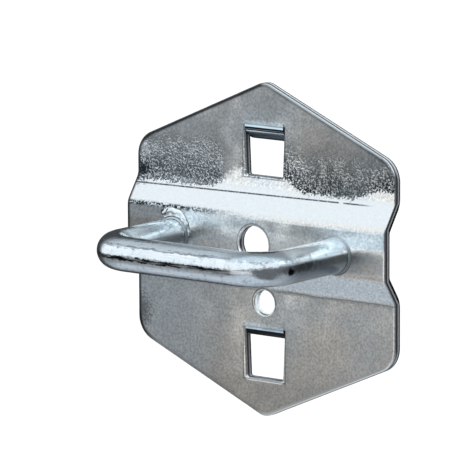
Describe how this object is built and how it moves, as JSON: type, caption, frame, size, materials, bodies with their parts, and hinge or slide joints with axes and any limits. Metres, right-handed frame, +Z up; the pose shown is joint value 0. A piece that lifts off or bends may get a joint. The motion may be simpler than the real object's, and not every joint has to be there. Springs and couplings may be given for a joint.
{
  "type": "u hook",
  "caption": "Zinc-plated hook for a square-hole panel: a pressed hexagonal plate with a rib and bent-back tabs, carrying a welded U of round wire that holds or guides what hangs in it.",
  "frame": {"origin": "middle of the plate's back plane, which bears on the panel", "axes": "+X to the right seen from the front, +Y out of the back into the panel, +Z up; the wire U stands out towards -Y"},
  "size_m": [0.0556, 0.0351, 0.058],
  "materials": {
    "zinc_sheet": "bright zinc plating on cold-rolled sheet, with a fine mottled grain",
    "zinc_wire": "bright zinc plating on drawn round wire"
  },
  "bodies": {
    "root": {"back_plate": "zinc_sheet", "u_wire": "zinc_wire"}
  },
  "joints": []
}
